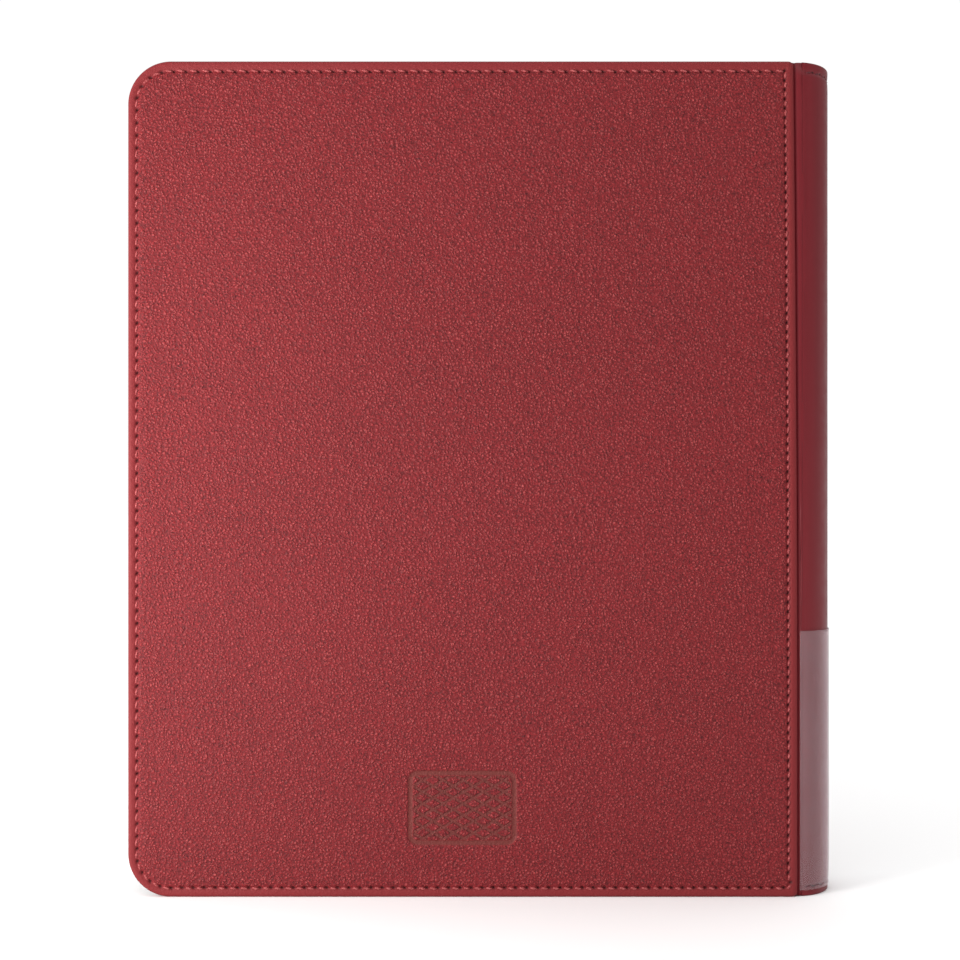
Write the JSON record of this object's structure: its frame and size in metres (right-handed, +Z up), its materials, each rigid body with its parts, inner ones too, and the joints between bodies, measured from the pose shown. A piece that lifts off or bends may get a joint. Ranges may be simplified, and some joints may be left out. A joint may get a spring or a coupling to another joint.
{
  "type": "trading card binder",
  "caption": "Closed side-loading card binder with sewn, round-cornered leatherette covers on a rounded spine, a clear spine label pocket and riveted clear-pocket pages.",
  "frame": {"origin": "middle of the closed binder's bounding box, on the floor plane it stands on", "axes": "+Z up the binder's height, +X from the fore edge to the rounded spine, -Y out of the back cover and +Y out of the front cover"},
  "size_m": [0.281, 0.04, 0.33],
  "materials": {
    "cover_leather": "grained",
    "spine_leather": "satin",
    "hinge_leather": "satin",
    "board": "matte greyboard",
    "lining": "matte",
    "thread": "matte",
    "label_film": "clear gloss",
    "pocket_film": "clear gloss",
    "page_sheet": "fine texture",
    "spacer": "matte",
    "plate": "matte",
    "rivet": "brushed",
    "tape": "woven"
  },
  "bodies": {
    "spine": {"spine_skin": "spine_leather", "spine_board": "board", "spine_lining": "lining", "label_window": "label_film", "spine_thread": "thread", "page_margins": "page_sheet", "margin_spacers": "spacer", "binding_plates": "plate", "binding_rivets": "rivet", "binding_tape": "tape"},
    "back_cover": {"back_cover_skin": "cover_leather", "back_cover_board": "board", "back_cover_lining": "lining", "back_cover_thread": "thread", "back_hinge_flap": "hinge_leather"},
    "front_cover": {"front_cover_skin": "cover_leather", "front_cover_board": "board", "front_cover_lining": "lining", "front_cover_thread": "thread", "front_hinge_flap": "hinge_leather"},
    "page_01": {"page_01_sheet": "page_sheet", "page_01_pockets": "pocket_film"},
    "page_02": {"page_02_sheet": "page_sheet", "page_02_pockets": "pocket_film"},
    "page_03": {"page_03_sheet": "page_sheet", "page_03_pockets": "pocket_film"},
    "page_04": {"page_04_sheet": "page_sheet", "page_04_pockets": "pocket_film"},
    "page_05": {"page_05_sheet": "page_sheet", "page_05_pockets": "pocket_film"},
    "page_06": {"page_06_sheet": "page_sheet", "page_06_pockets": "pocket_film"},
    "page_07": {"page_07_sheet": "page_sheet", "page_07_pockets": "pocket_film"},
    "page_08": {"page_08_sheet": "page_sheet", "page_08_pockets": "pocket_film"},
    "page_09": {"page_09_sheet": "page_sheet", "page_09_pockets": "pocket_film"},
    "page_10": {"page_10_sheet": "page_sheet", "page_10_pockets": "pocket_film"},
    "page_11": {"page_11_sheet": "page_sheet", "page_11_pockets": "pocket_film"},
    "page_12": {"page_12_sheet": "page_sheet", "page_12_pockets": "pocket_film"},
    "page_13": {"page_13_sheet": "page_sheet", "page_13_pockets": "pocket_film"},
    "page_14": {"page_14_sheet": "page_sheet", "page_14_pockets": "pocket_film"},
    "page_15": {"page_15_sheet": "page_sheet", "page_15_pockets": "pocket_film"},
    "page_16": {"page_16_sheet": "page_sheet", "page_16_pockets": "pocket_film"},
    "page_17": {"page_17_sheet": "page_sheet", "page_17_pockets": "pocket_film"},
    "page_18": {"page_18_sheet": "page_sheet", "page_18_pockets": "pocket_film"},
    "page_19": {"page_19_sheet": "page_sheet", "page_19_pockets": "pocket_film"},
    "page_20": {"page_20_sheet": "page_sheet", "page_20_pockets": "pocket_film"}
  },
  "joints": [
    {"name": "back_cover_hinge", "type": "hinge", "parent": "spine", "child": "back_cover", "pos_m": [0.1249, -0.01805, 0.165], "axis": [0, 0, 1], "range_deg": [0, 100]},
    {"name": "front_cover_hinge", "type": "hinge", "parent": "spine", "child": "front_cover", "pos_m": [0.1249, 0.01805, 0.165], "axis": [0, 0, -1], "range_deg": [0, 100]},
    {"name": "page_01_turn", "type": "hinge", "parent": "spine", "child": "page_01", "pos_m": [0.115, 0.01425, 0.165], "axis": [0, 0, -1], "range_deg": [0, 75]},
    {"name": "page_02_turn", "type": "hinge", "parent": "spine", "child": "page_02", "pos_m": [0.115, 0.01275, 0.165], "axis": [0, 0, -1], "range_deg": [0, 67.5]},
    {"name": "page_03_turn", "type": "hinge", "parent": "spine", "child": "page_03", "pos_m": [0.115, 0.01125, 0.165], "axis": [0, 0, -1], "range_deg": [0, 60]},
    {"name": "page_04_turn", "type": "hinge", "parent": "spine", "child": "page_04", "pos_m": [0.115, 0.00975, 0.165], "axis": [0, 0, -1], "range_deg": [0, 52.5]},
    {"name": "page_05_turn", "type": "hinge", "parent": "spine", "child": "page_05", "pos_m": [0.115, 0.00825, 0.165], "axis": [0, 0, -1], "range_deg": [0, 45]},
    {"name": "page_06_turn", "type": "hinge", "parent": "spine", "child": "page_06", "pos_m": [0.115, 0.00675, 0.165], "axis": [0, 0, -1], "range_deg": [0, 37.5]},
    {"name": "page_07_turn", "type": "hinge", "parent": "spine", "child": "page_07", "pos_m": [0.115, 0.00525, 0.165], "axis": [0, 0, -1], "range_deg": [0, 30]},
    {"name": "page_08_turn", "type": "hinge", "parent": "spine", "child": "page_08", "pos_m": [0.115, 0.00375, 0.165], "axis": [0, 0, -1], "range_deg": [0, 22.5]},
    {"name": "page_09_turn", "type": "hinge", "parent": "spine", "child": "page_09", "pos_m": [0.115, 0.00225, 0.165], "axis": [0, 0, -1], "range_deg": [0, 15]},
    {"name": "page_10_turn", "type": "hinge", "parent": "spine", "child": "page_10", "pos_m": [0.115, 0.00075, 0.165], "axis": [0, 0, -1], "range_deg": [0, 7.5]},
    {"name": "page_11_turn", "type": "hinge", "parent": "spine", "child": "page_11", "pos_m": [0.115, -0.00075, 0.165], "axis": [0, 0, 1], "range_deg": [0, 7.5]},
    {"name": "page_12_turn", "type": "hinge", "parent": "spine", "child": "page_12", "pos_m": [0.115, -0.00225, 0.165], "axis": [0, 0, 1], "range_deg": [0, 15]},
    {"name": "page_13_turn", "type": "hinge", "parent": "spine", "child": "page_13", "pos_m": [0.115, -0.00375, 0.165], "axis": [0, 0, 1], "range_deg": [0, 22.5]},
    {"name": "page_14_turn", "type": "hinge", "parent": "spine", "child": "page_14", "pos_m": [0.115, -0.00525, 0.165], "axis": [0, 0, 1], "range_deg": [0, 30]},
    {"name": "page_15_turn", "type": "hinge", "parent": "spine", "child": "page_15", "pos_m": [0.115, -0.00675, 0.165], "axis": [0, 0, 1], "range_deg": [0, 37.5]},
    {"name": "page_16_turn", "type": "hinge", "parent": "spine", "child": "page_16", "pos_m": [0.115, -0.00825, 0.165], "axis": [0, 0, 1], "range_deg": [0, 45]},
    {"name": "page_17_turn", "type": "hinge", "parent": "spine", "child": "page_17", "pos_m": [0.115, -0.00975, 0.165], "axis": [0, 0, 1], "range_deg": [0, 52.5]},
    {"name": "page_18_turn", "type": "hinge", "parent": "spine", "child": "page_18", "pos_m": [0.115, -0.01125, 0.165], "axis": [0, 0, 1], "range_deg": [0, 60]},
    {"name": "page_19_turn", "type": "hinge", "parent": "spine", "child": "page_19", "pos_m": [0.115, -0.01275, 0.165], "axis": [0, 0, 1], "range_deg": [0, 67.5]},
    {"name": "page_20_turn", "type": "hinge", "parent": "spine", "child": "page_20", "pos_m": [0.115, -0.01425, 0.165], "axis": [0, 0, 1], "range_deg": [0, 75]}
  ],
  "couplings": [
    {"joint": "page_01_turn", "follows": "front_cover_hinge", "ratio": 0.75},
    {"joint": "page_02_turn", "follows": "front_cover_hinge", "ratio": 0.675},
    {"joint": "page_03_turn", "follows": "front_cover_hinge", "ratio": 0.6},
    {"joint": "page_04_turn", "follows": "front_cover_hinge", "ratio": 0.525},
    {"joint": "page_05_turn", "follows": "front_cover_hinge", "ratio": 0.45},
    {"joint": "page_06_turn", "follows": "front_cover_hinge", "ratio": 0.375},
    {"joint": "page_07_turn", "follows": "front_cover_hinge", "ratio": 0.3},
    {"joint": "page_08_turn", "follows": "front_cover_hinge", "ratio": 0.225},
    {"joint": "page_09_turn", "follows": "front_cover_hinge", "ratio": 0.15},
    {"joint": "page_10_turn", "follows": "front_cover_hinge", "ratio": 0.075},
    {"joint": "page_11_turn", "follows": "back_cover_hinge", "ratio": 0.075},
    {"joint": "page_12_turn", "follows": "back_cover_hinge", "ratio": 0.15},
    {"joint": "page_13_turn", "follows": "back_cover_hinge", "ratio": 0.225},
    {"joint": "page_14_turn", "follows": "back_cover_hinge", "ratio": 0.3},
    {"joint": "page_15_turn", "follows": "back_cover_hinge", "ratio": 0.375},
    {"joint": "page_16_turn", "follows": "back_cover_hinge", "ratio": 0.45},
    {"joint": "page_17_turn", "follows": "back_cover_hinge", "ratio": 0.525},
    {"joint": "page_18_turn", "follows": "back_cover_hinge", "ratio": 0.6},
    {"joint": "page_19_turn", "follows": "back_cover_hinge", "ratio": 0.675},
    {"joint": "page_20_turn", "follows": "back_cover_hinge", "ratio": 0.75}
  ]
}
